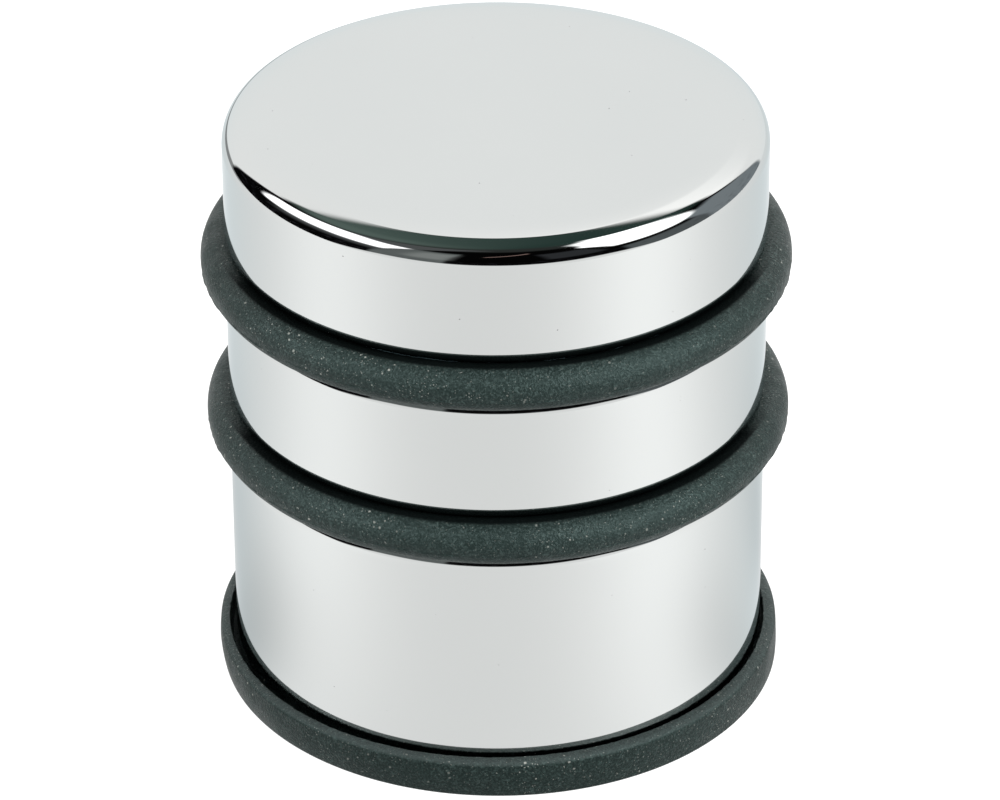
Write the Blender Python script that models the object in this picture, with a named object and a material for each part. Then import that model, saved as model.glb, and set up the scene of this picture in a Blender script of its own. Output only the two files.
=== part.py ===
"""Free-standing floor door holder.

A weighted, chrome-plated cylinder with two rubber bumper rings in grooves and a rubber foot.

The frame has its origin at the middle of the underside, with +Z up along the axis of the cylinder.
Every turned piece is an outline in the (radius, height) plane, spun once round the Z axis.
"""

import math

import bmesh
import bpy
from mathutils import Matrix, Vector

MM = 0.001

# Driving dimensions, in millimetres.
FIT_GAP = 0.3              # clearance kept between pieces that touch
BODY_RADIUS = 35.0         # outside of the chromed shell
OVERALL_HEIGHT = 79.4      # floor to the top face
SHELL_WALL = 1.4           # sheet thickness of the shell
TOP_EDGE_RADIUS = 3.0      # rounding between the wall and the top face
UPPER_RING_HEIGHT = 60.3   # middle of the upper bumper ring
LOWER_RING_HEIGHT = 37.8   # middle of the lower bumper ring
RING_CORD_RADIUS = 3.0     # section radius of a bumper ring
RING_STANDOFF = 0.2        # how far the middle of the cord lies outside the shell wall
SHOULDER_RADIUS = 1.5      # rounded lip where the wall turns into a groove
FOOT_RADIUS = 37.2         # outside of the rubber foot
FOOT_RIM_HEIGHT = 5.2      # top of the foot's upstanding rim
FOOT_RIM_WIDTH = 1.2       # width of the rim's land
FOOT_FLOOR_HEIGHT = 3.0    # top of the foot's floor
FOOT_EDGE_CHAMFER = 0.4    # lower outer edge of the foot
TREAD_RADII = (11.0, 19.0, 27.0)   # middles of the grip grooves under the foot
TREAD_WIDTH = 1.6
TREAD_DEPTH = 0.8
ADHESIVE_THICKNESS = 0.8   # foam tape that holds the foot to the closing plate
ADHESIVE_OUTER_RADIUS = 32.5
ADHESIVE_INNER_RADIUS = 15.0
ADHESIVE_EDGE = 0.15       # softened edges of the tape
PLATE_THICKNESS = 2.0      # pressed closing plate
DISH_RADIUS = 13.0         # inside of the dish that holds the nut
DISH_DEPTH = 12.6          # height of the dish floor above the plate's flat
DISH_DRAFT = 1.0           # how much the dish narrows towards its floor
WEIGHT_POCKET_RADIUS = 19.0    # mouth of the casting's upper pocket
WEIGHT_POCKET_TAPER = 2.0      # how much the pocket narrows towards its floor
WEIGHT_POCKET_DEPTH = 46.0
WEIGHT_CHAMFER = 1.2
CUSHION_THICKNESS = 3.0    # foam ring between the weight and the crown
CUSHION_INNER_RADIUS = 20.0
CUSHION_EDGE = 0.4
STUD_RADIUS = 4.0          # M8 weld stud
STUD_FLANGE_RADIUS = 9.0
STUD_FLANGE_THICKNESS = 2.0
STUD_END_HEIGHT = 5.0
STUD_CHAMFER = 0.7
NUT_ACROSS_FLATS = 13.0    # M8 hexagon nut
NUT_HEIGHT = 6.5
NUT_CHAMFER_ANGLE = 30.0   # degrees off the end faces
NUT_FACE_SHARE = 0.96      # end faces' radius over half the width across flats
WASHER_RADIUS = 8.0
WASHER_THICKNESS = 1.6
WASHER_EDGE = 0.2
LOCK_WASHER_RADIUS = 7.4
LOCK_WASHER_THICKNESS = 2.0
LOCK_WASHER_SPLIT = 14.0   # degrees left open
LOCK_WASHER_RISE = 0.2     # height gained round the split coil

# How finely round shapes are divided.
OUTER_SEGMENTS = 48
INNER_SEGMENTS = 36
CORD_SEGMENTS = 12
SHOULDER_STEPS = 3
GROOVE_STEPS = 6
EDGE_STEPS = 4
SMOOTH_ANGLE = math.radians(35.0)
MERGE_DISTANCE = 1e-4      # points closer than this are one point
HALF_FLAT = math.pi / 6.0  # half the angle that one side of a hexagon takes
INNER_EDGE_STEPS = 2

# Dimensions that follow from the driving ones.
RING_CENTRE_RADIUS = BODY_RADIUS + RING_STANDOFF
GROOVE_RADIUS = RING_CORD_RADIUS + FIT_GAP
SHOULDER_CENTRE_RADIUS = BODY_RADIUS - SHOULDER_RADIUS
SHOULDER_OFFSET = math.sqrt(
    (GROOVE_RADIUS + SHOULDER_RADIUS) ** 2 - (RING_CENTRE_RADIUS - SHOULDER_CENTRE_RADIUS) ** 2
)
SHELL_INNER_RADIUS = BODY_RADIUS - SHELL_WALL
SHELL_FOOT = FOOT_FLOOR_HEIGHT + FIT_GAP
CROWN_UNDERSIDE = OVERALL_HEIGHT - SHELL_WALL
RIDGE_RADIUS = GROOVE_RADIUS + SHELL_WALL
RIDGE_CREST = RING_CENTRE_RADIUS - RIDGE_RADIUS
WEIGHT_RADIUS = RIDGE_CREST - FIT_GAP
ADHESIVE_BOTTOM = FOOT_FLOOR_HEIGHT + FIT_GAP
ADHESIVE_TOP = ADHESIVE_BOTTOM + ADHESIVE_THICKNESS
PLATE_BOTTOM = ADHESIVE_TOP + FIT_GAP
PLATE_TOP = PLATE_BOTTOM + PLATE_THICKNESS
PLATE_RADIUS = SHELL_INNER_RADIUS - FIT_GAP
DISH_CEILING = PLATE_BOTTOM + DISH_DEPTH
DISH_TOP = DISH_CEILING + PLATE_THICKNESS
STUD_HOLE_RADIUS = STUD_RADIUS + FIT_GAP
WEIGHT_BOTTOM = PLATE_TOP + FIT_GAP
CUSHION_TOP = CROWN_UNDERSIDE - FIT_GAP
CUSHION_BOTTOM = CUSHION_TOP - CUSHION_THICKNESS
WEIGHT_TOP = CUSHION_BOTTOM - FIT_GAP
COUNTERBORE_RADIUS = DISH_RADIUS + PLATE_THICKNESS + FIT_GAP
COUNTERBORE_CEILING = DISH_TOP + FIT_GAP
WASHER_TOP = DISH_CEILING - FIT_GAP
WASHER_BOTTOM = WASHER_TOP - WASHER_THICKNESS
LOCK_WASHER_TOP = WASHER_BOTTOM - FIT_GAP
LOCK_WASHER_BOTTOM = LOCK_WASHER_TOP - LOCK_WASHER_THICKNESS - LOCK_WASHER_RISE
NUT_TOP = LOCK_WASHER_BOTTOM - FIT_GAP
NUT_BOTTOM = NUT_TOP - NUT_HEIGHT

# Base colour, metallic value and roughness of each material.
CHROME = ((0.80, 0.82, 0.85), 1.0, 0.06)
RUBBER = ((0.020, 0.024, 0.024), 0.0, 0.62)
CAST_IRON = ((0.10, 0.10, 0.105), 0.85, 0.60)
ZINC_STEEL = ((0.62, 0.63, 0.60), 1.0, 0.32)
PLAIN_STEEL = ((0.45, 0.46, 0.48), 1.0, 0.38)
FOAM = ((0.045, 0.045, 0.050), 0.0, 0.90)
TAPE = ((0.72, 0.72, 0.66), 0.0, 0.75)


def clear_scene():
    """Remove every object, so that the script gives the same result each run."""
    for item in list(bpy.data.objects):
        bpy.data.objects.remove(item, do_unlink=True)


def make_material(name, finish):
    """A Principled BSDF material from a (colour, metallic, roughness) finish."""
    colour, metallic, roughness = finish
    material = bpy.data.materials.new(name)
    material.use_nodes = True
    shader = material.node_tree.nodes["Principled BSDF"]
    shader.inputs["Base Color"].default_value = (*colour, 1.0)
    shader.inputs["Metallic"].default_value = metallic
    shader.inputs["Roughness"].default_value = roughness
    return material


def arc(centre_radius, centre_height, radius, start, end, steps):
    """Points of an arc in the (radius, height) plane, from start to end in degrees, both ends included."""
    points = []
    for step in range(steps + 1):
        angle = math.radians(start + (end - start) * step / steps)
        points.append((centre_radius + radius * math.cos(angle), centre_height + radius * math.sin(angle)))
    return points


def finish_object(name, mesh_builder, finish, parent):
    """Turn a bmesh into a named, smooth-shaded object with its own material."""
    bmesh.ops.remove_doubles(mesh_builder, verts=mesh_builder.verts, dist=MERGE_DISTANCE * MM)
    bmesh.ops.recalc_face_normals(mesh_builder, faces=mesh_builder.faces)
    mesh = bpy.data.meshes.new(name)
    mesh_builder.to_mesh(mesh)
    mesh_builder.free()
    mesh.shade_smooth()
    mesh.set_sharp_from_angle(angle=SMOOTH_ANGLE)
    mesh.materials.append(make_material(name + "_material", finish))
    piece = bpy.data.objects.new(name, mesh)
    bpy.context.collection.objects.link(piece)
    piece.parent = parent
    return piece


def turned(name, outline, segments, finish, parent):
    """Spin a closed outline of (radius, height) points in millimetres once round the Z axis."""
    builder = bmesh.new()
    corners = [builder.verts.new((radius * MM, 0.0, height * MM)) for radius, height in outline]
    edges = []
    for index, corner in enumerate(corners):
        following = corners[(index + 1) % len(corners)]
        on_axis = max(corner.co.x, following.co.x) < MERGE_DISTANCE * MM
        if not on_axis:
            edges.append(builder.edges.new((corner, following)))
    bmesh.ops.spin(
        builder,
        geom=corners + edges,
        cent=(0.0, 0.0, 0.0),
        axis=(0.0, 0.0, 1.0),
        angle=2.0 * math.pi,
        steps=segments,
        use_merge=True,
    )
    return finish_object(name, builder, finish, parent)


def chamfered_ring(inner, outer, bottom, top, chamfer):
    """Outline of a flat ring with its four edges chamfered."""
    return [
        (inner + chamfer, bottom),
        (outer - chamfer, bottom),
        (outer, bottom + chamfer),
        (outer, top - chamfer),
        (outer - chamfer, top),
        (inner + chamfer, top),
        (inner, top - chamfer),
        (inner, bottom + chamfer),
    ]


def groove_outline(height):
    """Outer side of one rolled groove, going up: lip, seat concentric with the ring's cord, lip."""
    lip_angle = math.degrees(math.atan2(SHOULDER_OFFSET, RING_CENTRE_RADIUS - SHOULDER_CENTRE_RADIUS))
    lower_lip = arc(
        SHOULDER_CENTRE_RADIUS, height - SHOULDER_OFFSET, SHOULDER_RADIUS, 0.0, lip_angle, SHOULDER_STEPS
    )
    seat = arc(RING_CENTRE_RADIUS, height, GROOVE_RADIUS, 180.0 + lip_angle, 180.0 - lip_angle, GROOVE_STEPS)
    upper_lip = arc(
        SHOULDER_CENTRE_RADIUS, height + SHOULDER_OFFSET, SHOULDER_RADIUS, -lip_angle, 0.0, SHOULDER_STEPS
    )
    return lower_lip + seat[1:-1] + upper_lip


def ridge_outline(height):
    """Inner side of one rolled groove, going down: the sheet bulges inwards."""
    reach = math.degrees(math.acos((RING_CENTRE_RADIUS - SHELL_INNER_RADIUS) / RIDGE_RADIUS))
    return arc(RING_CENTRE_RADIUS, height, RIDGE_RADIUS, 180.0 - reach, 180.0 + reach, GROOVE_STEPS)


def make_body_shell(parent):
    """Deep-drawn cup with two rolled grooves, open at the bottom."""
    edge_centre_radius = BODY_RADIUS - TOP_EDGE_RADIUS
    edge_centre_height = OVERALL_HEIGHT - TOP_EDGE_RADIUS
    outline = [(SHELL_INNER_RADIUS, SHELL_FOOT), (BODY_RADIUS, SHELL_FOOT)]
    outline += groove_outline(LOWER_RING_HEIGHT)
    outline += groove_outline(UPPER_RING_HEIGHT)
    outline += arc(edge_centre_radius, edge_centre_height, TOP_EDGE_RADIUS, 0.0, 90.0, EDGE_STEPS)
    outline += [(0.0, OVERALL_HEIGHT), (0.0, CROWN_UNDERSIDE)]
    inner_edge_radius = TOP_EDGE_RADIUS - SHELL_WALL
    outline += arc(edge_centre_radius, edge_centre_height, inner_edge_radius, 90.0, 0.0, INNER_EDGE_STEPS)
    outline += ridge_outline(UPPER_RING_HEIGHT)
    outline += ridge_outline(LOWER_RING_HEIGHT)
    return turned("body_shell", outline, OUTER_SEGMENTS, CHROME, parent)


def make_bumper_ring(name, height, parent):
    """Solid rubber ring of round section."""
    outline = arc(RING_CENTRE_RADIUS, height, RING_CORD_RADIUS, 0.0, 360.0, CORD_SEGMENTS)[:-1]
    return turned(name, outline, OUTER_SEGMENTS, RUBBER, parent)


def make_base_pad(parent):
    """Moulded foot: a shallow cup with an upstanding rim and concentric grip grooves underneath."""
    outline = [(0.0, 0.0)]
    for radius in TREAD_RADII:
        near = radius - TREAD_WIDTH / 2.0
        far = radius + TREAD_WIDTH / 2.0
        outline += [(near, 0.0), (near, TREAD_DEPTH), (far, TREAD_DEPTH), (far, 0.0)]
    outline += [
        (FOOT_RADIUS - FOOT_EDGE_CHAMFER, 0.0),
        (FOOT_RADIUS, FOOT_EDGE_CHAMFER),
        (FOOT_RADIUS, FOOT_RIM_HEIGHT),
        (FOOT_RADIUS - FOOT_RIM_WIDTH, FOOT_RIM_HEIGHT),
        (FOOT_RADIUS - FOOT_RIM_WIDTH, FOOT_FLOOR_HEIGHT),
        (0.0, FOOT_FLOOR_HEIGHT),
    ]
    return turned("base_pad", outline, OUTER_SEGMENTS, RUBBER, parent)


def make_pad_adhesive(parent):
    """Ring of double-sided foam tape between the foot and the closing plate."""
    outline = chamfered_ring(
        ADHESIVE_INNER_RADIUS, ADHESIVE_OUTER_RADIUS, ADHESIVE_BOTTOM, ADHESIVE_TOP, ADHESIVE_EDGE
    )
    return turned("pad_adhesive_ring", outline, INNER_SEGMENTS, TAPE, parent)


def make_closing_plate(parent):
    """Pressed steel plate whose dished middle takes the nut and its washers."""
    dish_floor_radius = DISH_RADIUS - DISH_DRAFT
    outline = [
        (DISH_RADIUS, PLATE_BOTTOM),
        (PLATE_RADIUS, PLATE_BOTTOM),
        (PLATE_RADIUS, PLATE_TOP),
        (DISH_RADIUS + PLATE_THICKNESS, PLATE_TOP),
        (dish_floor_radius + PLATE_THICKNESS, DISH_TOP - DISH_DRAFT),
        (dish_floor_radius + PLATE_THICKNESS - DISH_DRAFT, DISH_TOP),
        (STUD_HOLE_RADIUS, DISH_TOP),
        (STUD_HOLE_RADIUS, DISH_CEILING),
        (dish_floor_radius, DISH_CEILING),
    ]
    return turned("closing_plate", outline, INNER_SEGMENTS, ZINC_STEEL, parent)


def make_core_weight(parent):
    """Cast-iron weight with a tapered pocket above and a counterbore for the plate's dish below."""
    pocket_floor = WEIGHT_TOP - WEIGHT_POCKET_DEPTH
    outline = [
        (COUNTERBORE_RADIUS, WEIGHT_BOTTOM),
        (WEIGHT_RADIUS - WEIGHT_CHAMFER, WEIGHT_BOTTOM),
        (WEIGHT_RADIUS, WEIGHT_BOTTOM + WEIGHT_CHAMFER),
        (WEIGHT_RADIUS, WEIGHT_TOP - WEIGHT_CHAMFER),
        (WEIGHT_RADIUS - WEIGHT_CHAMFER, WEIGHT_TOP),
        (WEIGHT_POCKET_RADIUS, WEIGHT_TOP),
        (WEIGHT_POCKET_RADIUS - WEIGHT_POCKET_TAPER, pocket_floor),
        (STUD_HOLE_RADIUS, pocket_floor),
        (STUD_HOLE_RADIUS, COUNTERBORE_CEILING),
        (COUNTERBORE_RADIUS, COUNTERBORE_CEILING),
    ]
    return turned("core_weight", outline, INNER_SEGMENTS, CAST_IRON, parent)


def make_crown_cushion(parent):
    """Foam ring that keeps the weight from rattling against the crown."""
    outline = chamfered_ring(
        CUSHION_INNER_RADIUS, WEIGHT_RADIUS - WEIGHT_CHAMFER, CUSHION_BOTTOM, CUSHION_TOP, CUSHION_EDGE
    )
    return turned("crown_cushion", outline, INNER_SEGMENTS, FOAM, parent)


def make_centre_stud(parent):
    """Flanged weld stud under the crown, running down to the nut."""
    flange_top = CROWN_UNDERSIDE - FIT_GAP
    flange_bottom = flange_top - STUD_FLANGE_THICKNESS
    outline = [
        (0.0, STUD_END_HEIGHT),
        (STUD_RADIUS - STUD_CHAMFER, STUD_END_HEIGHT),
        (STUD_RADIUS, STUD_END_HEIGHT + STUD_CHAMFER),
        (STUD_RADIUS, flange_bottom),
        (STUD_FLANGE_RADIUS, flange_bottom),
        (STUD_FLANGE_RADIUS, flange_top),
        (0.0, flange_top),
    ]
    return turned("centre_stud", outline, INNER_SEGMENTS, PLAIN_STEEL, parent)


def make_flat_washer(parent):
    """Plain washer under the dish floor."""
    outline = chamfered_ring(STUD_HOLE_RADIUS, WASHER_RADIUS, WASHER_BOTTOM, WASHER_TOP, WASHER_EDGE)
    return turned("flat_washer", outline, INNER_SEGMENTS, ZINC_STEEL, parent)


def place_section(builder, section, angle, base):
    """Vertices of a (radius, height) section turned by an angle round Z and lifted by base millimetres."""
    turn = Matrix.Rotation(angle, 3, "Z")
    return [builder.verts.new(turn @ Vector((radius, 0.0, base + height)) * MM) for radius, height in section]


def bridge_sections(builder, near_sections, far_sections):
    """Join each closed section to the one beside it with a band of faces."""
    for near, far in zip(near_sections, far_sections):
        for index in range(len(near)):
            following = (index + 1) % len(near)
            builder.faces.new((near[index], near[following], far[following], far[index]))


def make_lock_washer(parent):
    """Split spring washer: a square-section coil that rises slightly and stays open at its cut."""
    builder = bmesh.new()
    section = [
        (STUD_HOLE_RADIUS, 0.0),
        (LOCK_WASHER_RADIUS, 0.0),
        (LOCK_WASHER_RADIUS, LOCK_WASHER_THICKNESS),
        (STUD_HOLE_RADIUS, LOCK_WASHER_THICKNESS),
    ]
    sweep = 360.0 - LOCK_WASHER_SPLIT
    loops = []
    for step in range(INNER_SEGMENTS + 1):
        share = step / INNER_SEGMENTS
        angle = math.radians(LOCK_WASHER_SPLIT / 2.0 + sweep * share)
        base = LOCK_WASHER_BOTTOM + LOCK_WASHER_RISE * share
        loops.append(place_section(builder, section, angle, base))
    bridge_sections(builder, loops[:-1], loops[1:])
    builder.faces.new(loops[0])
    builder.faces.new(list(reversed(loops[-1])))
    return finish_object("lock_washer", builder, ZINC_STEEL, parent)


def make_hex_nut(parent):
    """Hexagon nut with both ends chamfered and a plain bore."""
    builder = bmesh.new()
    apothem = NUT_ACROSS_FLATS / 2.0
    face_radius = NUT_FACE_SHARE * apothem
    slope = math.tan(math.radians(NUT_CHAMFER_ANGLE))
    loops = []
    for step in range(INNER_SEGMENTS):
        angle = math.radians(360.0 * step / INNER_SEGMENTS)
        from_flat_middle = (angle + HALF_FLAT) % (2.0 * HALF_FLAT) - HALF_FLAT
        side_radius = apothem / math.cos(from_flat_middle)
        drop = (side_radius - face_radius) * slope
        section = [
            (STUD_HOLE_RADIUS, NUT_BOTTOM),
            (face_radius, NUT_BOTTOM),
            (side_radius, NUT_BOTTOM + drop),
            (side_radius, NUT_TOP - drop),
            (face_radius, NUT_TOP),
            (STUD_HOLE_RADIUS, NUT_TOP),
        ]
        loops.append(place_section(builder, section, angle, 0.0))
    bridge_sections(builder, loops, loops[1:] + loops[:1])
    return finish_object("hex_nut", builder, ZINC_STEEL, parent)


def main():
    clear_scene()
    holder = bpy.data.objects.new("door_holder", None)
    bpy.context.collection.objects.link(holder)
    make_body_shell(holder)
    make_bumper_ring("upper_bumper_ring", UPPER_RING_HEIGHT, holder)
    make_bumper_ring("lower_bumper_ring", LOWER_RING_HEIGHT, holder)
    make_base_pad(holder)
    make_pad_adhesive(holder)
    make_closing_plate(holder)
    make_core_weight(holder)
    make_crown_cushion(holder)
    make_centre_stud(holder)
    make_flat_washer(holder)
    make_lock_washer(holder)
    make_hex_nut(holder)


main()
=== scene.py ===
"""Looks of the free-standing floor door holder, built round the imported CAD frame.

The chromed shell, the two rubber bumper rings, the rubber foot and the two hidden foam rings are rebuilt as
fine meshes. The hidden metal pieces keep their CAD shapes and get worked-metal looks. The stage is a pale
floor under soft studio light. Lengths are in metres. Azimuths are in degrees from the front (-Y), positive
towards +X.
"""
import math

import bmesh
import bpy
from mathutils import Matrix, Quaternion, Vector, noise


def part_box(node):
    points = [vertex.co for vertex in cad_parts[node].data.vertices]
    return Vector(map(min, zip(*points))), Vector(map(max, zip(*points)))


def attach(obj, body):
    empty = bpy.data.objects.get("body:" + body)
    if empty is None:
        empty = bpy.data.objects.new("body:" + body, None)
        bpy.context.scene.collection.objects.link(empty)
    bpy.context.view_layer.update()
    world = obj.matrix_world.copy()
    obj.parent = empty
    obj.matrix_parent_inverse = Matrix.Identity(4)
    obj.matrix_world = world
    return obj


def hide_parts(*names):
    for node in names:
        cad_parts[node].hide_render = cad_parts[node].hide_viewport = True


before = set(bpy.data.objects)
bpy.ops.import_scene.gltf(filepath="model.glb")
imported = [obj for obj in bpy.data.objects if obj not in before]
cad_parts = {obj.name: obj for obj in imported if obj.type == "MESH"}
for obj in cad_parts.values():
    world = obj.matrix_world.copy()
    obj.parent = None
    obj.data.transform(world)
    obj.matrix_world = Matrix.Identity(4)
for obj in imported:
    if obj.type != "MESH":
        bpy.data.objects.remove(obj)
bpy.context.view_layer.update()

MM = 0.001
TAU = 2.0 * math.pi
BODY = "root"

# Dimensions read from the frame.
SHELL_LOW, SHELL_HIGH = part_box("body_shell")
FOOT_LOW, FOOT_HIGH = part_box("base_pad")
UPPER_LOW, UPPER_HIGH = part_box("upper_bumper_ring")
LOWER_LOW, LOWER_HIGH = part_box("lower_bumper_ring")
BODY_RADIUS = SHELL_HIGH.x
TOP = SHELL_HIGH.z
SHELL_FOOT = SHELL_LOW.z
CORD_RADIUS = (UPPER_HIGH.z - UPPER_LOW.z) / 2.0
RING_RADIUS = UPPER_HIGH.x - CORD_RADIUS
RING_HEIGHTS = {
    "lower": (LOWER_HIGH.z + LOWER_LOW.z) / 2.0,
    "upper": (UPPER_HIGH.z + UPPER_LOW.z) / 2.0,
}
FOOT_RADIUS = FOOT_HIGH.x
FOOT_RIM_TOP = FOOT_HIGH.z

# Fixed details of the shell, rings and foot, repeated from the CAD source.
FIT_GAP = 0.3 * MM
SHELL_WALL = 1.4 * MM
TOP_EDGE_RADIUS = 3.0 * MM
FOOT_FLOOR = 3.0 * MM
TREAD_RADII = (11.0 * MM, 19.0 * MM, 27.0 * MM)
TREAD_WIDTH = 1.6 * MM
TREAD_DEPTH = 0.8 * MM
CUSHION_INNER_RADIUS = 20.0 * MM
TAPE_INNER_RADIUS = 15.0 * MM

# Fine details that only the visual meshes have. Slopes are in degrees below the flat top face.
ROUNDING_RADIUS = 2.65 * MM
FACET_INNER_SLOPE = 9.0         # of the polished facet where it leaves the top face
FACET_SLOPE = 12.2              # of the same facet where it meets the rounding
FACET_START = BODY_RADIUS - 3.55 * MM
CROWN_START = BODY_RADIUS - 7.5 * MM
CROWN_SLOPE = 4.0               # where the top face's polished fall-off meets the facet
CREASE = 0.12 * MM
BOTTOM_EDGE_RADIUS = 0.15 * MM
UPPER_LIP_RADIUS = 2.3 * MM
LOWER_LIP_RADIUS = 3.2 * MM
LIP_GAP = 0.06 * MM
RING_SHRINK = 0.06 * MM         # how far the visual cord stays inside its CAD solid before it swells
ROUND_STEPS = 320
RING_STEPS = 480
FOOT_STEPS = 640
FOAM_STEPS = 192
NO_SHARP_EDGE = 180.0


def arc(centre_radius, centre_height, radius, start, end, steps):
    """Points of an arc in the (radius, height) plane, from start to end in degrees, both ends included."""
    points = []
    for step in range(steps + 1):
        angle = math.radians(start + (end - start) * step / steps)
        points.append((centre_radius + radius * math.cos(angle), centre_height + radius * math.sin(angle)))
    return points


def ripple(angle, seed, turns, amplitude):
    """Smooth closed wander round a circle, livelier with more turns."""
    point = Vector((turns * math.cos(angle), turns * math.sin(angle), seed))
    return amplitude * noise.noise(point)


def lathe(name, outline, steps=ROUND_STEPS, shift=None, sharp=40.0):
    """A closed outline of (radius, height) points turned once round Z.

    shift(angle, index, radius, height) may return a small (radius, height) change for each point.
    """
    on_axis = 1e-7
    builder = bmesh.new()
    loops = []
    for index, (radius, height) in enumerate(outline):
        if radius < on_axis:
            loops.append([builder.verts.new((0.0, 0.0, height))])
            continue
        loop = []
        for step in range(steps):
            angle = TAU * step / steps
            dr, dz = shift(angle, index, radius, height) if shift else (0.0, 0.0)
            point = ((radius + dr) * math.cos(angle), (radius + dr) * math.sin(angle), height + dz)
            loop.append(builder.verts.new(point))
        loops.append(loop)
    for near, far in zip(loops, loops[1:] + loops[:1]):
        for step in range(steps):
            following = (step + 1) % steps
            corners = [near[step % len(near)], near[following % len(near)]]
            corners += [far[following % len(far)], far[step % len(far)]]
            distinct = list(dict.fromkeys(corners))
            if len(distinct) > 2:
                builder.faces.new(distinct)
    bmesh.ops.recalc_face_normals(builder, faces=builder.faces)
    mesh = bpy.data.meshes.new(name)
    builder.to_mesh(mesh)
    builder.free()
    mesh.shade_smooth()
    mesh.set_sharp_from_angle(angle=math.radians(sharp))
    piece = bpy.data.objects.new(name, mesh)
    bpy.context.scene.collection.objects.link(piece)
    return piece


def register(piece, material, slot_name, *replaced):
    """Give a piece its material, hang it under the body's empty and hide the CAD parts that it replaces."""
    piece.data.materials.append(material)
    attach(piece, BODY)
    if replaced:
        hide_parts(*replaced)


# ---------------------------------------------------------------- materials


class Shader:
    """Small helper that builds a node tree from short calls."""

    def __init__(self, tree):
        self.tree = tree
        tree.nodes.clear()

    def add(self, kind, inputs=None, **settings):
        made = self.tree.nodes.new(kind)
        for key, value in settings.items():
            setattr(made, key, value)
        for key, value in (inputs or {}).items():
            self.set(made.inputs[key], value)
        return made

    def set(self, socket, value):
        if isinstance(value, bpy.types.NodeSocket):
            self.tree.links.new(value, socket)
        else:
            socket.default_value = value

    def math(self, operation, *values):
        made = self.add("ShaderNodeMath", operation=operation)
        for socket, value in zip(made.inputs, values):
            self.set(socket, value)
        return made.outputs[0]

    def smooth(self, value, low, high, start=0.0, end=1.0):
        """start below low, end above high, and a smooth step between."""
        made = self.add("ShaderNodeMapRange", interpolation_type="SMOOTHSTEP")
        for key, entry in (("Value", value), ("From Min", low), ("From Max", high)):
            self.set(made.inputs[key], entry)
        self.set(made.inputs["To Min"], start)
        self.set(made.inputs["To Max"], end)
        return made.outputs[0]

    def band(self, value, low, high, soft):
        """One between low and high, zero outside."""
        rise = self.smooth(value, low - soft, low + soft)
        fall = self.smooth(value, high - soft, high + soft, 1.0, 0.0)
        return self.math("MULTIPLY", rise, fall)

    def mix(self, factor, first, second):
        made = self.add("ShaderNodeMix", data_type="RGBA")
        self.set(made.inputs[0], factor)
        self.set(made.inputs[6], first)
        self.set(made.inputs[7], second)
        return made.outputs[2]

    def noise(self, coordinates, scale, detail=2.0, roughness=0.5):
        made = self.add("ShaderNodeTexNoise", {"Scale": scale, "Detail": detail, "Roughness": roughness})
        self.set(made.inputs["Vector"], coordinates)
        return made.outputs["Fac"]

    def length(self, vector):
        made = self.add("ShaderNodeVectorMath", operation="LENGTH")
        self.set(made.inputs[0], vector)
        return made.outputs["Value"]

    def lobe(self, value, centre, width, height):
        """Bell curve round centre, as tall as height."""
        offset = self.math("DIVIDE", self.math("SUBTRACT", value, centre), width)
        bell = self.math("EXPONENT", self.math("MULTIPLY", self.math("MULTIPLY", offset, offset), -1.0))
        return self.math("MULTIPLY", bell, height)

    def specks(self, coordinates, spacing, radius, share):
        """Scattered dots of a radius, in cells a spacing apart, on a share of the cells; both in metres."""
        cells = self.add("ShaderNodeTexVoronoi", {"Scale": 1.0 / spacing, "Randomness": 1.0})
        self.set(cells.inputs["Vector"], coordinates)
        pick = self.add("ShaderNodeSeparateColor", {"Color": cells.outputs["Color"]})
        size = self.math("MULTIPLY", self.math("ADD", pick.outputs[1], 0.35), radius / spacing)
        depth = self.math("SUBTRACT", 1.0, self.math("DIVIDE", cells.outputs["Distance"], size))
        dot = self.smooth(depth, 0.0, 0.35)
        chosen = self.math("GREATER_THAN", share, pick.outputs[0])
        return self.math("MULTIPLY", dot, chosen)

    def bump(self, height, strength, distance, normal=None):
        made = self.add("ShaderNodeBump", {"Strength": strength, "Distance": distance, "Height": height})
        if normal is not None:
            self.set(made.inputs["Normal"], normal)
        return made.outputs["Normal"]

    def principled(self, **inputs):
        shader = self.add("ShaderNodeBsdfPrincipled")
        for key, value in inputs.items():
            self.set(shader.inputs[key.replace("_", " ")], value)
        output = self.add("ShaderNodeOutputMaterial")
        self.tree.links.new(shader.outputs[0], output.inputs["Surface"])
        return shader


def new_material(name):
    material = bpy.data.materials.new(name)
    material.use_nodes = True
    shader = Shader(material.node_tree)
    coordinates = shader.add("ShaderNodeTexCoord").outputs["Object"]
    return material, shader, coordinates


def rgb(red, green, blue):
    return (red, green, blue, 1.0)


def grey(level):
    return rgb(level, level, level)


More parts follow.
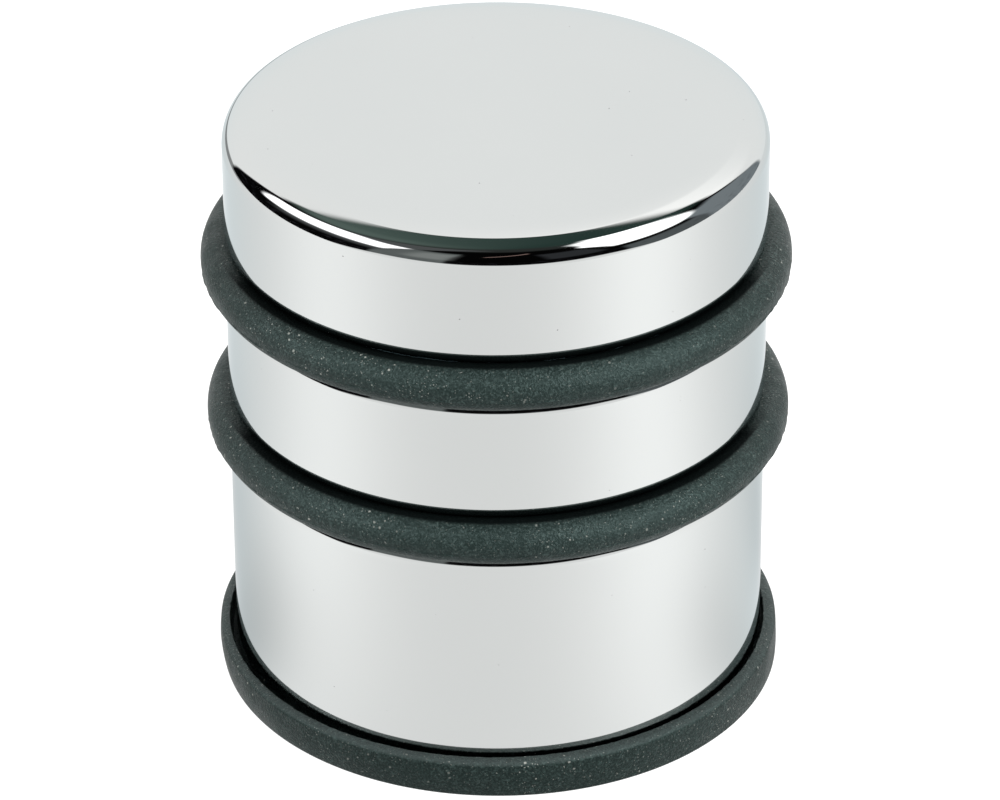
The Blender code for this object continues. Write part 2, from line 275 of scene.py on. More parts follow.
def chrome_material():
    """Polished chrome plate: faint waviness, a breath of haze and fine dust."""
    material, s, at = new_material("polished_chrome")
    tone = s.mix(s.noise(at, scale=45.0, detail=3.0), rgb(0.612, 0.629, 0.622), rgb(0.634, 0.648, 0.640))
    dust = s.specks(at, spacing=2.4 * MM, radius=0.12 * MM, share=0.16)
    fine_dust = s.specks(at, spacing=1.0 * MM, radius=0.05 * MM, share=0.10)
    dirt = s.math("MAXIMUM", dust, fine_dust)
    tone = s.mix(s.math("MULTIPLY", dirt, 0.5), tone, rgb(0.26, 0.26, 0.25))
    clouds = s.noise(at, scale=120.0, detail=4.0, roughness=0.6)
    haze = s.smooth(clouds, 0.35, 0.75, 0.030, 0.060)
    roughness = s.math("ADD", haze, s.math("MULTIPLY", dirt, 0.4))
    metallic = s.math("SUBTRACT", 1.0, s.math("MULTIPLY", dirt, 0.6))
    waves = s.bump(s.noise(at, scale=38.0, detail=1.0), strength=1.0, distance=0.006 * MM)
    shader = s.principled(Base_Color=tone, Metallic=metallic, Roughness=roughness, Normal=waves)
    shader.inputs["Specular Tint"].default_value = rgb(0.79, 0.85, 0.87)
    return material


def rubber_dust(s, at):
    """Pale dust in two sizes, knocked off its regular cells and thicker in some patches."""
    jitter = s.add("ShaderNodeTexNoise", {"Scale": 2600.0, "Detail": 2.0})
    s.set(jitter.inputs["Vector"], at)
    warp = s.add("ShaderNodeVectorMath", operation="MULTIPLY_ADD")
    s.set(warp.inputs[0], jitter.outputs["Color"])
    s.set(warp.inputs[1], (0.30 * MM, 0.30 * MM, 0.30 * MM))
    s.set(warp.inputs[2], at)
    scattered = warp.outputs[0]
    patches = s.smooth(s.noise(at, scale=60.0, detail=3.0), 0.38, 0.66, 0.30, 1.0)
    dust = s.specks(scattered, spacing=0.70 * MM, radius=0.15 * MM, share=0.24)
    fine_dust = s.specks(scattered, spacing=0.34 * MM, radius=0.075 * MM, share=0.60)
    powder = s.math("MULTIPLY", fine_dust, 0.75)
    return s.math("MAXIMUM", dust, powder), patches


def rubber_material(name, light, gloss, shade_from, shade_to, shoulder):
    """Matt moulded rubber: cloudy tone, fine grain, pale dust, and a soft sheen as strong as gloss.

    A painted shade darkens it inside the radius shade_from, where it hugs the chrome, and fades out by
    shade_to and on the two sides; the dust and the sheen fade with that shade. A painted highlight lightens
    upward faces by the share shoulder.
    """
    dark = rgb(0.003, 0.007, 0.006)
    # painted shade: near-black colour where the rubber hugs the chrome
    crevice_painted_shade = rgb(0.002, 0.003, 0.003)
    # painted highlight: lighter colour of upward faces
    painted_top_light_tone = rgb(0.085, 0.100, 0.098)
    dust_tone = rgb(0.33, 0.34, 0.31)
    material, s, at = new_material(name)
    parts = s.add("ShaderNodeSeparateXYZ", {"Vector": at})
    flat = s.add("ShaderNodeCombineXYZ", {"X": parts.outputs[0], "Y": parts.outputs[1]})
    away = s.length(flat.outputs[0])
    # Painted shade mask: one on open rubber, 0.05 against the chrome, lifted again on the ring's two sides.
    painted_lit_share = s.smooth(away, shade_from, shade_to, 0.05, 1.0)
    sideways = s.math("DIVIDE", s.math("ABSOLUTE", parts.outputs[0]), away)
    painted_lit_share = s.math("MAXIMUM", painted_lit_share, s.smooth(sideways, 0.90, 0.985, 0.0, 0.9))
    facing = s.add("ShaderNodeSeparateXYZ", {"Vector": s.add("ShaderNodeNewGeometry").outputs["Normal"]})
    # Painted highlight on upward faces, by the share shoulder.
    painted_top_light = s.math("MULTIPLY", s.smooth(facing.outputs[2], 0.25, 0.95), shoulder)

    cloud = s.noise(at, scale=110.0, detail=4.0, roughness=0.6)
    grain = s.noise(at, scale=3400.0, detail=2.0, roughness=0.7)
    coarse = s.noise(at, scale=1500.0, detail=3.0, roughness=0.6)
    mottle = s.math("MULTIPLY", s.smooth(grain, 0.42, 0.66), s.smooth(coarse, 0.34, 0.64, 0.30, 1.0))
    tone = s.mix(s.math("MULTIPLY", mottle, s.smooth(cloud, 0.3, 0.7, 0.55, 1.0)), dark, light)
    tone = s.mix(painted_top_light, tone, painted_top_light_tone)
    dust, patches = rubber_dust(s, at)
    dirt = s.math("MULTIPLY", dust, s.math("MULTIPLY", patches, painted_lit_share))
    tone = s.mix(s.math("MULTIPLY", dirt, 0.8), tone, dust_tone)
    # Painted shade: the rubber turns near-black where the painted lit share is low.
    tone = s.mix(painted_lit_share, crevice_painted_shade, tone)

    roughness = s.smooth(s.noise(at, scale=300.0, detail=3.0), 0.3, 0.7, 0.38, 0.50)
    normal = s.bump(grain, strength=1.0, distance=0.16 * MM)
    normal = s.bump(coarse, strength=0.6, distance=0.16 * MM, normal=normal)
    normal = s.bump(dirt, strength=0.6, distance=0.05 * MM, normal=normal)
    sheen = s.math("MULTIPLY", painted_lit_share, gloss)
    shader = s.principled(Base_Color=tone, Roughness=roughness, Specular_IOR_Level=sheen, Normal=normal)
    shader.inputs["Specular Tint"].default_value = rgb(0.72, 1.0, 0.96)
    return material


def metal_material(name, dark, light, rough_low, rough_high, scale=260.0, pits=0.05 * MM, metallic=1.0):
    """Plain worked metal with a mottled tone and a pitted or drawn surface."""
    material, s, at = new_material(name)
    mottling = s.noise(at, scale, detail=5.0, roughness=0.6)
    tone = s.mix(s.smooth(mottling, 0.3, 0.7), dark, light)
    fine = s.noise(at, scale * 9.0, detail=4.0, roughness=0.6)
    roughness = s.smooth(fine, 0.25, 0.75, rough_low, rough_high)
    normal = s.bump(fine, strength=0.6, distance=pits)
    shader = s.principled(Base_Color=tone, Roughness=roughness, Normal=normal)
    shader.inputs["Metallic"].default_value = metallic
    return material


def foam_material(name, dark, light):
    """Closed-cell foam: small round cells in a slightly uneven tone."""
    material, s, at = new_material(name)
    cells = s.add("ShaderNodeTexVoronoi", {"Scale": 1900.0})
    s.set(cells.inputs["Vector"], at)
    pore = s.smooth(cells.outputs["Distance"], 0.1, 0.6)
    tone = s.mix(pore, dark, light)
    roughness = s.smooth(s.noise(at, scale=200.0, detail=3.0), 0.3, 0.7, 0.82, 0.95)
    normal = s.bump(pore, strength=0.7, distance=0.1 * MM)
    s.principled(Base_Color=tone, Roughness=roughness, Normal=normal)
    return material


# ---------------------------------------------------------------- chromed shell


def lip_place(lip_radius):
    """Distance of a lip's centre above or below the ring's middle, and the angle where it meets the seat."""
    reach = RING_RADIUS - (BODY_RADIUS - lip_radius)
    offset = math.sqrt((CORD_RADIUS + LIP_GAP + lip_radius) ** 2 - reach**2)
    return offset, math.degrees(math.atan2(offset, reach))


def groove_points(height):
    """Outer side of one rolled groove, going up: lip, seat and lip, the lips all but touching the ring."""
    below, lower_turn = lip_place(LOWER_LIP_RADIUS)
    above, upper_turn = lip_place(UPPER_LIP_RADIUS)
    seat_radius = CORD_RADIUS + LIP_GAP
    points = arc(BODY_RADIUS - LOWER_LIP_RADIUS, height - below, LOWER_LIP_RADIUS, 0.0, lower_turn, 24)
    points += arc(RING_RADIUS, height, seat_radius, 180.0 + lower_turn, 180.0 - upper_turn, 16)[1:-1]
    points += arc(BODY_RADIUS - UPPER_LIP_RADIUS, height + above, UPPER_LIP_RADIUS, -upper_turn, 0.0, 24)
    return points


def ridge_points(height):
    """Inner side of one rolled groove, going down."""
    ridge_radius = CORD_RADIUS + FIT_GAP + SHELL_WALL
    reach = math.degrees(math.acos((RING_RADIUS - BODY_RADIUS + SHELL_WALL) / ridge_radius))
    return arc(RING_RADIUS, height, ridge_radius, 180.0 - reach, 180.0 + reach, 12)


def slope_down(points, width, slope):
    """Add a point that lies a width further out and falls away at a slope in degrees."""
    radius, height = points[-1]
    points.append((radius + width, height - width * math.tan(math.radians(slope))))


def top_points():
    """Rounding, polished facet and the top face's slight fall-off, going up and inwards."""
    crown_steps = 12
    crown_width = (FACET_START - CROWN_START) / crown_steps
    crown = [(CROWN_START, TOP)]
    for step in range(1, crown_steps + 1):
        share = (step - 0.5) / crown_steps
        slope_down(crown, crown_width, CROWN_SLOPE * share**1.5)

    centre_radius = BODY_RADIUS - ROUNDING_RADIUS
    facet_end = centre_radius + ROUNDING_RADIUS * math.sin(math.radians(FACET_SLOPE))
    facet_steps = 6
    facet_width = (facet_end - FACET_START - CREASE) / facet_steps
    inner_fall = math.tan(math.radians(FACET_INNER_SLOPE))
    facet = [(FACET_START + CREASE, crown[-1][1] - CREASE * inner_fall)]
    for step in range(facet_steps):
        share = (step + 0.5) / facet_steps
        slope_down(facet, facet_width, FACET_INNER_SLOPE + (FACET_SLOPE - FACET_INNER_SLOPE) * share)
    edge_height = facet.pop()[1]
    centre_height = edge_height - ROUNDING_RADIUS * math.cos(math.radians(FACET_SLOPE))
    rounding = arc(centre_radius, centre_height, ROUNDING_RADIUS, 0.0, 90.0 - FACET_SLOPE, 32)
    return rounding + facet[::-1] + crown[::-1]


def make_shell():
    """Chromed cup with two rolled grooves, open at the bottom."""
    inner = BODY_RADIUS - SHELL_WALL
    edge = BOTTOM_EDGE_RADIUS
    inner_centre = BODY_RADIUS - TOP_EDGE_RADIUS
    wall_start = SHELL_FOOT + 2.0 * MM
    outline = [(inner, SHELL_FOOT), (BODY_RADIUS - edge, SHELL_FOOT)]
    outline += arc(BODY_RADIUS - edge, SHELL_FOOT + edge, edge, -60.0, 0.0, 3)
    outline += [(BODY_RADIUS, wall_start)]
    outline += groove_points(RING_HEIGHTS["lower"])
    outline += groove_points(RING_HEIGHTS["upper"])
    outline += top_points()
    outline += [(BODY_RADIUS * 0.5, TOP), (0.0, TOP), (0.0, TOP - SHELL_WALL)]
    outline += arc(inner_centre, TOP - TOP_EDGE_RADIUS, TOP_EDGE_RADIUS - SHELL_WALL, 90.0, 0.0, 6)
    outline += ridge_points(RING_HEIGHTS["upper"])
    outline += ridge_points(RING_HEIGHTS["lower"])
    shell = lathe("chrome_shell", outline)
    register(shell, chrome_material(), "chromed_shell", "body_shell")
    return shell


# ---------------------------------------------------------------- rubber pieces


def make_bumper_ring(name, node, height, material, seed, lean):
    """Moulded ring with a slightly uneven section and a thin parting flash low on its outside.

    Its inner side is pressed flat on the groove's seat, and lean pulls the ring in on its -X side.
    """
    flash_at = -15.0                # degrees round the section, from its outermost point
    flash_steps = (-2.4, -1.3, -0.6, 0.0, 0.6, 1.3, 2.4)
    flash_reach = 1.4
    flash_height = 0.11 * MM
    mismatch = 0.05 * MM            # of the two mould halves, from mismatch_from up to the flash
    mismatch_from = -60.0
    seat_reach = LIP_GAP - 0.01 * MM
    even_steps = [5.0 * step for step in range(-36, 36) if step != -3]
    section = sorted(even_steps + [flash_at + step for step in flash_steps])

    def shift(angle, index, radius, at_height):
        turn = section[index]
        inward = max(0.0, -math.cos(math.radians(turn)))
        ragged = 0.5 + ripple(angle, seed, turns=30.0, amplitude=1.2)
        lip = flash_height * max(0.0, min(1.0, ragged)) * max(0.0, 1.0 - abs(turn - flash_at) / flash_reach)
        below = mismatch if mismatch_from < turn < flash_at else 0.0
        swell = ripple(angle, seed + 3.0, turns=2.5, amplitude=0.04 * MM)
        swell += ripple(angle, seed + turn / 60.0, turns=9.0, amplitude=0.02 * MM)
        pressed = seat_reach * min(1.0, 2.2 * inward)
        grow = lip + swell - RING_SHRINK - below + pressed
        pull = lean * 0.5 * (1.0 - math.cos(angle))
        return grow * math.cos(math.radians(turn)) - pull, grow * math.sin(math.radians(turn))

    outline = []
    for turn in section:
        side = math.radians(turn)
        outline.append((RING_RADIUS + CORD_RADIUS * math.cos(side), height + CORD_RADIUS * math.sin(side)))
    ring = lathe(name, outline, RING_STEPS, shift, NO_SHARP_EDGE)
    register(ring, material, "bumper_rubber", node)


def make_foot(material):
    """Moulded foot: bulging side, rim trimmed a little raggedly on its inside, grip grooves underneath."""
    bulge_height = 2.7 * MM
    bottom_tuck = 0.22 * MM
    bottom_round = 0.3 * MM
    shoulder_width = 1.15 * MM
    shoulder_height = 0.75 * MM
    groove_edge = 0.1 * MM
    skew = 0.2 * MM
    side_steps = 12
    shoulder_steps = 8
    rim_inside = BODY_RADIUS + 0.55 * MM
    side = []
    for step in range(side_steps + 1):
        z = bottom_round + (FOOT_RIM_TOP - shoulder_height - bottom_round) * step / side_steps
        tuck = bottom_tuck * ((bulge_height - z) / bulge_height) ** 2
        side.append((FOOT_RADIUS - tuck, z))
    top_radius = side[-1][0]
    outline = [(0.0, 0.0)]
    for radius in TREAD_RADII:
        near = radius - TREAD_WIDTH / 2.0
        far = radius + TREAD_WIDTH / 2.0
        outline += [(near - groove_edge, 0.0), (near, groove_edge), (near, TREAD_DEPTH)]
        outline += [(far, TREAD_DEPTH), (far, groove_edge), (far + groove_edge, 0.0)]
    outline += arc(side[0][0] - bottom_round, bottom_round, bottom_round, -90.0, 0.0, 4)[:-1]
    outline += side
    for step in range(1, shoulder_steps + 1):
        turn = math.radians(90.0 * step / shoulder_steps)
        radius = top_radius - shoulder_width + shoulder_width * math.cos(turn)
        outline.append((radius, FOOT_RIM_TOP - shoulder_height + shoulder_height * math.sin(turn)))
    trim_from = len(outline)
    outline += [
        (rim_inside + 0.08 * MM, FOOT_RIM_TOP - 0.02 * MM),
        (rim_inside, FOOT_RIM_TOP - 0.10 * MM),
        (rim_inside + 0.05 * MM, FOOT_RIM_TOP - 0.5 * MM),
        (rim_inside + 0.25 * MM, FOOT_FLOOR + 0.5 * MM),
        (rim_inside, FOOT_FLOOR + 0.1 * MM),
        (rim_inside - 0.1 * MM, FOOT_FLOOR),
        (0.0, FOOT_FLOOR),
    ]
    trim_to = trim_from + 3
    tread_end = FOOT_RADIUS - 2.0 * MM

    def shift(angle, index, radius, height):
        if height < TREAD_DEPTH + groove_edge and radius < tread_end:
            return 0.0, 0.0
        if index < trim_from:
            low = max(0.0, 1.0 - height / bulge_height)
            drop = ripple(angle, seed=8.0, turns=8.0, amplitude=0.05 * MM)
            inner = max(0.0, (height - FOOT_RIM_TOP + shoulder_height) / shoulder_height)
            return skew * low * math.cos(angle), min(0.0, drop - 0.04 * MM) * inner
        if index >= trim_to:
            return 0.0, 0.0
        from_front = angle + math.pi / 2.0
        eccentric = 0.22 * MM * math.cos(from_front + math.radians(65.0))
        oval = -0.14 * MM * math.cos(2.0 * (from_front - math.radians(18.0)))
        ragged = ripple(angle, seed=2.0, turns=45.0, amplitude=0.10 * MM)
        ragged += ripple(angle, seed=5.0, turns=150.0, amplitude=0.05 * MM)
        burr = ripple(angle, seed=7.0, turns=90.0, amplitude=0.05 * MM)
        return eccentric + oval + ragged, min(0.0, burr)

    foot = lathe("rubber_foot", outline, FOOT_STEPS, shift)
    register(foot, material, "foot_rubber", "base_pad")


def make_rubber_pieces():
    """Both rings and the foot, with the rubber that each is moulded from."""
    ring_rubber = rubber_material(
        "bumper_rubber_look",
        light=rgb(0.040, 0.058, 0.054),
        gloss=0.30,
        shade_from=BODY_RADIUS + 0.55 * MM,
        shade_to=BODY_RADIUS + 1.12 * MM,
        shoulder=0.0,
    )
    foot_rubber = rubber_material(
        "foot_rubber_look",
        light=rgb(0.034, 0.052, 0.048),
        gloss=0.20,
        shade_from=BODY_RADIUS + 0.1 * MM,
        shade_to=BODY_RADIUS + 0.7 * MM,
        # share of painted highlight on the foot's upward faces
        shoulder=0.3,
    )
    upper = RING_HEIGHTS["upper"]
    lower = RING_HEIGHTS["lower"]
    make_bumper_ring("bumper_ring_upper", "upper_bumper_ring", upper, ring_rubber, seed=1.7, lean=0.0)
    make_bumper_ring("bumper_ring_lower", "lower_bumper_ring", lower, ring_rubber, seed=6.2, lean=0.22 * MM)
    make_foot(foot_rubber)


# ---------------------------------------------------------------- hidden fastening


def make_foam_ring(name, node, inner_radius, roundness, material, slot_name):
    """Soft flat ring in the space of its CAD solid, with rounded edges and slightly uneven faces."""
    low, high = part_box(node)
    outer_radius = high.x
    sink = 0.06 * MM
    bottom = low.z + sink
    top = high.z - sink
    middle = (inner_radius + outer_radius) / 2.0
    outline = arc(outer_radius - roundness, bottom + roundness, roundness, -90.0, 0.0, 5)
    outline += arc(outer_radius - roundness, top - roundness, roundness, 0.0, 90.0, 5)
    outline += [(middle, top)]
    outline += arc(inner_radius + roundness, top - roundness, roundness, 90.0, 180.0, 5)
    outline += arc(inner_radius + roundness, bottom + roundness, roundness, 180.0, 270.0, 5)
    outline += [(middle, bottom)]

    def shift(angle, index, radius, height):
        side = -1.0 if radius > middle else 1.0
        dent = abs(ripple(angle, radius / MM, turns=7.0, amplitude=0.25 * MM))
        swell = ripple(angle, radius / MM + 5.0, turns=5.0, amplitude=0.8 * sink)
        return side * dent, swell

    piece = lathe(name, outline, FOAM_STEPS, shift, NO_SHARP_EDGE)
    register(piece, material, slot_name, node)


def make_foam_pieces():
    """Cushion ring above the weight and tape ring above the foot."""
    dark_foam = foam_material("dark_foam", rgb(0.020, 0.020, 0.022), rgb(0.060, 0.060, 0.066))
    tape_foam = foam_material("tape_foam", rgb(0.55, 0.55, 0.49), rgb(0.78, 0.78, 0.71))
    make_foam_ring(
        "foam_cushion_ring", "crown_cushion", CUSHION_INNER_RADIUS, 0.9 * MM, dark_foam, "cushion_foam"
    )
    make_foam_ring(
        "foam_tape_ring", "pad_adhesive_ring", TAPE_INNER_RADIUS, 0.2 * MM, tape_foam, "adhesive_foam"
    )


def dress_hidden_nodes():
    """Worked-metal looks for the solid pieces inside the shell."""
    zinc = metal_material(
        "zinc_plate", rgb(0.52, 0.53, 0.50), rgb(0.70, 0.70, 0.64), rough_low=0.22, rough_high=0.42
    )
    iron = metal_material(
        "cast_iron_skin", rgb(0.045, 0.043, 0.042), rgb(0.13, 0.125, 0.12), rough_low=0.50, rough_high=0.78,
        scale=160.0, pits=0.3 * MM, metallic=0.8,
    )
    steel = metal_material(
        "oiled_steel", rgb(0.30, 0.30, 0.31), rgb(0.48, 0.48, 0.50), rough_low=0.28, rough_high=0.45,
        scale=420.0,
    )
    looks = {
        "core_weight": iron,
        "closing_plate": zinc,
        "flat_washer": zinc,
        "lock_washer": zinc,
        "hex_nut": zinc,
        "centre_stud": steel,
    }
    for node, material in looks.items():
        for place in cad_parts[node].material_slots:
            place.material = material


# ---------------------------------------------------------------- floor


def polar_angle(s, across, along):
    """Azimuth in degrees from the front, positive towards +X."""
    return s.math("MULTIPLY", s.math("ARCTAN2", across, s.math("MULTIPLY", along, -1.0)), 180.0 / math.pi)


def floor_glow(s, at):
    """How bright the chrome mirrors the floor: brighter front left and right, shaded beside the object."""
    parts = s.add("ShaderNodeSeparateXYZ", {"Vector": at})
    azimuth = polar_angle(s, parts.outputs[0], parts.outputs[1])
    away = s.length(at)

    def shade(level, zone, left_lobe, right_lobe):
        """Darken a level by the stronger of two lobes, inside a zone round the object."""
        dim = s.math("MULTIPLY", zone, s.math("MAXIMUM", left_lobe, right_lobe))
        return s.math("MULTIPLY", level, s.math("SUBTRACT", 1.0, dim))

    level = s.lobe(azimuth, centre=-67.0, width=28.0, height=0.26)
    level = s.math("ADD", level, s.lobe(azimuth, centre=58.0, width=30.0, height=0.33))
    level = s.math("ADD", level, 1.03)
    near = s.smooth(away, 0.040, 0.085, 1.0, 0.0)
    near_left = s.lobe(azimuth, centre=-86.0, width=26.0, height=0.33)
    near_right = s.lobe(azimuth, centre=75.0, width=20.0, height=0.24)
    level = shade(level, near, near_left, near_right)
    beside = s.smooth(away, 0.045, 0.125, 1.0, 0.0)
    back_left = s.lobe(azimuth, centre=-136.0, width=24.0, height=0.22)
    back_right = s.lobe(azimuth, centre=120.0, width=16.0, height=0.16)
    level = shade(level, beside, back_left, back_right)
    seam = s.math("MULTIPLY", s.smooth(away, 0.60, 0.72), s.band(azimuth, -172.0, -120.0, 4.0))
    return s.math("MULTIPLY", level, s.math("SUBTRACT", 1.0, s.math("MULTIPLY", seam, 0.65)))


def floor_material():
    """Nearly shadowless where the camera sees it, gently uneven where the chrome mirrors it."""
    material, s, at = new_material("pale_floor")
    rays = s.add("ShaderNodeLightPath")
    soft = s.math("SUBTRACT", 1.0, s.math("MULTIPLY", rays.outputs["Is Diffuse Ray"], 0.45))
    glow = s.add("ShaderNodeEmission", {"Strength": s.math("MULTIPLY", floor_glow(s, at), soft)})
    seen = s.add("ShaderNodeEmission", {"Color": grey(1.0), "Strength": 0.82})
    matt = s.add("ShaderNodeBsdfDiffuse", {"Color": grey(0.34)})
    seen_floor = s.add("ShaderNodeAddShader")
    s.set(seen_floor.inputs[0], seen.outputs[0])
    s.set(seen_floor.inputs[1], matt.outputs[0])
    choose = s.add("ShaderNodeMixShader", {"Fac": rays.outputs["Is Camera Ray"]})
    s.set(choose.inputs[1], glow.outputs[0])
    s.set(choose.inputs[2], seen_floor.outputs[0])
    output = s.add("ShaderNodeOutputMaterial")
    s.set(output.inputs["Surface"], choose.outputs[0])
    return material


def make_floor():
    """Pale floor disc just under the foot."""
    builder = bmesh.new()
    bmesh.ops.create_circle(builder, cap_ends=True, radius=1.6, segments=128)
    mesh = bpy.data.meshes.new("floor")
    builder.to_mesh(mesh)
    builder.free()
    floor = bpy.data.objects.new("floor", mesh)
    bpy.context.scene.collection.objects.link(floor)
    floor.location.z = FOOT_LOW.z - 0.02 * MM
    mesh.materials.append(floor_material())


# ---------------------------------------------------------------- studio that the chrome mirrors


BLACK = grey(0.002)


class Sky(Shader):
    """Shader helper that also knows the direction in which a ray leaves the studio, in degrees."""

    def __init__(self, tree):
        super().__init__(tree)
        self.direction = self.add("ShaderNodeTexCoord").outputs["Generated"]
        parts = self.add("ShaderNodeSeparateXYZ", {"Vector": self.direction})
        self.across, self.along, self.upward = parts.outputs
        self.elevation = self.math("MULTIPLY", self.math("ARCSINE", self.upward), 180.0 / math.pi)
        self.azimuth = polar_angle(self, self.across, self.along)

    def panel(self, sides, heights, side_blur, height_blur):
        """One inside a rectangle of azimuths and elevations, zero outside."""
        wide = self.band(self.azimuth, sides[0], sides[1], side_blur)
        high = self.band(self.elevation, heights[0], heights[1], height_blur)
        return self.math("MULTIPLY", wide, high)

    def above(self, line, blur):
        """One above a line of elevations, zero below it."""
        return self.smooth(self.math("SUBTRACT", self.elevation, line), -blur, blur)

    def below(self, line, blur):
        """One below a line of elevations, zero above it."""
        return self.smooth(self.math("SUBTRACT", self.elevation, line), -blur, blur, 1.0, 0.0)


def dim_ceiling(sky):
    """Black studio under a dim ceiling, which is greenish over the back left."""
    back_left = rgb(0.122, 0.168, 0.150)
    back_right = rgb(0.030, 0.056, 0.049)
    zenith = rgb(0.034, 0.038, 0.036)
    behind = sky.mix(sky.smooth(sky.across, -0.30, 0.12), back_left, back_right)
    ceiling = sky.mix(sky.smooth(sky.along, 0.02, 0.32), zenith, behind)
    overhead = sky.math("ADD", sky.upward, sky.math("MULTIPLY", sky.along, 0.35))
    return sky.mix(sky.smooth(overhead, 0.89, 0.975), BLACK, ceiling)


def add_boards(sky, colour):
    """Grey boards in front and on both sides."""
    left = sky.panel(sides=(-52.0, -21.0), heights=(-1.0, 62.0), side_blur=1.5, height_blur=4.0)
    left_core = sky.panel(sides=(-39.0, -21.0), heights=(26.0, 56.0), side_blur=5.0, height_blur=6.0)
    front = sky.panel(sides=(22.0, 47.0), heights=(28.0, 57.0), side_blur=3.0, height_blur=4.0)
    side_wall = sky.panel(sides=(54.0, 92.0), heights=(-12.0, 26.0), side_blur=2.0, height_blur=4.0)
    right = sky.panel(sides=(93.0, 134.0), heights=(-12.0, 44.0), side_blur=3.0, height_blur=3.0)
    colour = sky.mix(left, colour, rgb(0.155, 0.170, 0.168))
    colour = sky.mix(left_core, colour, rgb(0.285, 0.300, 0.295))
    colour = sky.mix(front, colour, rgb(0.036, 0.038, 0.042))
    colour = sky.mix(side_wall, colour, rgb(0.115, 0.130, 0.135))
    return sky.mix(right, colour, rgb(0.250, 0.280, 0.300))


def add_clutter(sky, colour):
    """A thin sloping glint high in front, and murky clutter low down."""
    line = sky.math("SUBTRACT", sky.elevation, sky.math("MULTIPLY", sky.azimuth, 0.5))
    glint = sky.math("MULTIPLY", sky.band(sky.azimuth, -6.0, 22.0, 2.0), sky.band(line, 54.3, 57.0, 0.6))
    colour = sky.mix(glint, colour, rgb(0.30, 0.20, 0.18))
    clouds = sky.noise(sky.direction, scale=14.0, detail=3.0, roughness=0.65)
    low_zone = sky.smooth(sky.elevation, 14.0, 30.0, 1.0, 0.0)
    murk = sky.math("MULTIPLY", sky.smooth(clouds, 0.50, 0.72, 0.0, 0.5), low_zone)
    return sky.mix(murk, colour, rgb(0.05, 0.048, 0.060))


def add_left_softbox(sky, colour):
    """Left softbox: bowed sill, slanted back side, a top that drops towards the back, dim skirt below."""
    past = sky.math("MAXIMUM", sky.math("SUBTRACT", -90.0, sky.azimuth), 0.0)
    drop = sky.math("MULTIPLY", sky.math("MULTIPLY", past, past), 0.0115)
    top = sky.math("SUBTRACT", 60.5, drop)
    bow = sky.math("MULTIPLY", sky.math("POWER", sky.math("ADD", sky.azimuth, 55.0), 2.0), 0.0035)
    sill = sky.math("SUBTRACT", 38.0, bow)
    slant = sky.math("MULTIPLY", sky.math("SUBTRACT", sky.elevation, 28.0), 0.85)
    back_side = sky.smooth(sky.math("ADD", sky.azimuth, slant), -121.0, -115.0)
    front_side = sky.smooth(sky.azimuth, -55.0, -50.0, 1.0, 0.0)
    box = sky.math("MULTIPLY", sky.above(sill, 3.5), sky.below(top, 2.5))
    box = sky.math("MULTIPLY", box, back_side)
    box = sky.math("MULTIPLY", box, front_side)
    from_sill = sky.math("SUBTRACT", sky.elevation, sill)
    skirt = sky.math(
        "MULTIPLY", sky.smooth(from_sill, -18.0, -2.0), sky.band(sky.azimuth, -104.0, -50.0, 5.0)
    )
    skirt = sky.math("MULTIPLY", skirt, sky.math("SUBTRACT", 1.0, box))
    colour = sky.mix(skirt, colour, rgb(0.105, 0.11, 0.112))
    return sky.mix(box, colour, rgb(2.45, 2.40, 2.45))


def add_right_softbox(sky, colour):
    """Right softbox: arched top and a sill that climbs towards the back."""
    off_middle = sky.math("SUBTRACT", sky.azimuth, 106.0)
    drop = sky.math("MULTIPLY", sky.math("MULTIPLY", off_middle, off_middle), 0.0045)
    top = sky.math("SUBTRACT", 75.5, drop)
    climb = sky.smooth(sky.azimuth, 85.0, 140.0, 36.0, 54.5)
    sill = sky.math("ADD", climb, sky.smooth(sky.azimuth, 50.0, 78.0, 3.0, 0.0))
    box = sky.math("MULTIPLY", sky.above(sill, 2.5), sky.below(top, 2.5))
    box = sky.math("MULTIPLY", box, sky.band(sky.azimuth, 54.5, 156.0, 2.5))
    return sky.mix(box, colour, grey(2.50))


def add_sweep(sky, colour):
    """White sweep behind the object, brighter on the right, which narrows as it rises."""
    turned = sky.math("ABSOLUTE", sky.azimuth)
    rise = sky.math("POWER", sky.math("MAXIMUM", sky.math("SUBTRACT", sky.elevation, 20.0), 0.0), 2.0)
    foot_edge = sky.smooth(sky.across, -0.1, 0.1, 131.8, 133.2)
    edge = sky.math("ADD", foot_edge, sky.math("MULTIPLY", rise, 0.0176))
    inside = sky.smooth(sky.math("SUBTRACT", turned, edge), -1.5, 1.5)
    under = sky.smooth(sky.elevation, 42.5, 46.5, 1.0, 0.0)
    bright = sky.math("MULTIPLY", sky.smooth(sky.across, -0.12, 0.20), sky.smooth(sky.elevation, 28.0, 44.0))
    sweep = sky.mix(bright, rgb(1.165, 1.158, 1.155), rgb(1.48, 1.46, 1.45))
    return sky.mix(sky.math("MULTIPLY", inside, under), colour, sweep)


def add_apron(sky, colour):
    """Pale floor out to the horizon, with a dark seam where it meets the sweep at the back left."""
    turned = sky.math("ABSOLUTE", sky.azimuth)
    apron = sky.below(sky.smooth(turned, 40.0, 80.0, 9.0, -6.0), 2.0)
    colour = sky.mix(apron, colour, grey(1.06))
    seam_top = sky.smooth(sky.azimuth, -164.0, -132.0, -3.0, 4.0)
    seam = sky.math("MULTIPLY", sky.below(seam_top, 1.5), sky.band(sky.azimuth, -172.0, -110.0, 4.0))
    return sky.mix(sky.math("MULTIPLY", seam, 0.7), colour, BLACK)


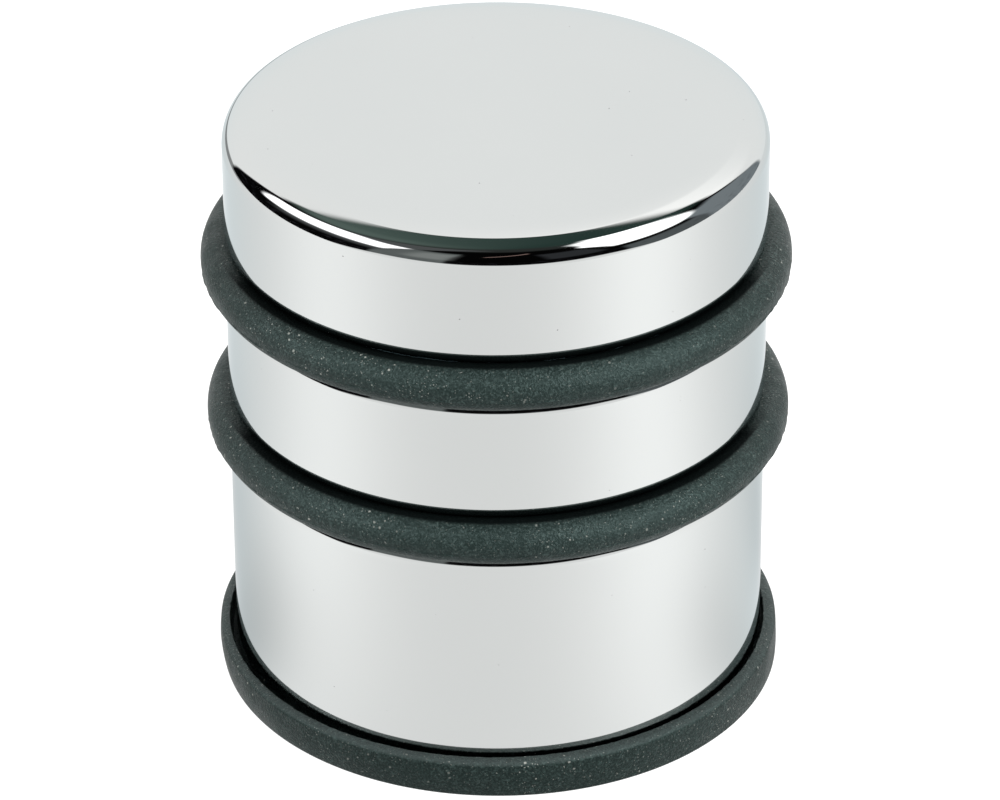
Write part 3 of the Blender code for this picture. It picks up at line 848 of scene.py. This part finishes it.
def make_world():
    """Studio round the object, painted from back to front: each layer covers the ones before it."""
    world = bpy.data.worlds.new("studio")
    world.use_nodes = True
    bpy.context.scene.world = world
    sky = Sky(world.node_tree)
    colour = dim_ceiling(sky)
    for layer in (add_boards, add_clutter, add_left_softbox, add_right_softbox, add_sweep, add_apron):
        colour = layer(sky, colour)
    rays = sky.add("ShaderNodeLightPath")
    colour = sky.mix(rays.outputs["Is Camera Ray"], colour, grey(1.0))
    background = sky.add("ShaderNodeBackground", {"Color": colour, "Strength": 1.0})
    output = sky.add("ShaderNodeOutputWorld")
    sky.set(output.inputs["Surface"], background.outputs[0])


# ---------------------------------------------------------------- lamps and camera


def direction_from(azimuth, elevation):
    """Unit vector for an azimuth and an elevation in degrees."""
    a = math.radians(azimuth)
    e = math.radians(elevation)
    return Vector((math.sin(a) * math.cos(e), -math.cos(a) * math.cos(e), math.sin(e)))


def not_on(piece):
    """Receiver list for a lamp that lights everything but one piece."""
    receivers = bpy.data.collections.new("all_but_" + piece.name)
    receivers.objects.link(piece)
    receivers.collection_objects[0].light_linking.link_state = "EXCLUDE"
    return receivers


def make_softbox(name, azimuth, elevation, width, height, radiance, tilt, receivers):
    """Rectangular light a metre from the top of the object, facing it, turned by tilt degrees."""
    light = bpy.data.lights.new(name, "AREA")
    light.shape = "RECTANGLE"
    light.size = width
    light.size_y = height
    light.energy = radiance * math.pi * width * height
    holder = bpy.data.objects.new(name, light)
    bpy.context.scene.collection.objects.link(holder)
    back = direction_from(azimuth, elevation)
    holder.location = Vector((0.0, 0.0, TOP)) + back
    holder.rotation_mode = "QUATERNION"
    turn = Quaternion((0.0, 0.0, 1.0), math.radians(tilt))
    holder.rotation_quaternion = (-back).to_track_quat("-Z", "Y") @ turn
    holder.visible_camera = False
    holder.light_linking.receiver_collection = receivers


def make_lamps(chrome_shell):
    """Two softboxes for the rubber and the floor; the chrome mirrors the studio's painted boxes instead."""
    receivers = not_on(chrome_shell)
    make_softbox(
        "softbox_left", azimuth=-68.0, elevation=29.0, width=0.76, height=0.34, radiance=11.0, tilt=8.0,
        receivers=receivers,
    )
    make_softbox(
        "softbox_right", azimuth=57.0, elevation=31.0, width=0.52, height=0.46, radiance=18.5, tilt=0.0,
        receivers=receivers,
    )


def make_camera():
    """Long lens looking down at the front, with the slight roll of a hand-set tripod."""
    tilt = math.radians(30.8)
    roll = math.radians(-0.275)
    distance = 21.2 * BODY_RADIUS
    target = Vector((0.0107 * BODY_RADIUS, 0.0, 1.0698 * BODY_RADIUS))
    forward = Vector((0.0, math.cos(tilt), -math.sin(tilt)))
    side = Vector((1.0, 0.0, 0.0))
    above = side.cross(forward)
    right = side * math.cos(roll) + above * math.sin(roll)
    up = above * math.cos(roll) - side * math.sin(roll)
    data = bpy.data.cameras.new("camera")
    data.lens = 203.8
    data.sensor_width = 36.0
    data.clip_start = 0.05
    camera = bpy.data.objects.new("camera", data)
    bpy.context.scene.collection.objects.link(camera)
    turn = Matrix((right, up, -forward)).transposed()
    camera.matrix_world = Matrix.Translation(target - forward * distance) @ turn.to_4x4()
    bpy.context.scene.camera = camera


make_camera()
chrome_shell = make_shell()
make_rubber_pieces()
make_foam_pieces()
dress_hidden_nodes()
make_floor()
make_world()
make_lamps(chrome_shell)
bpy.context.scene.view_settings.view_transform = "Standard"
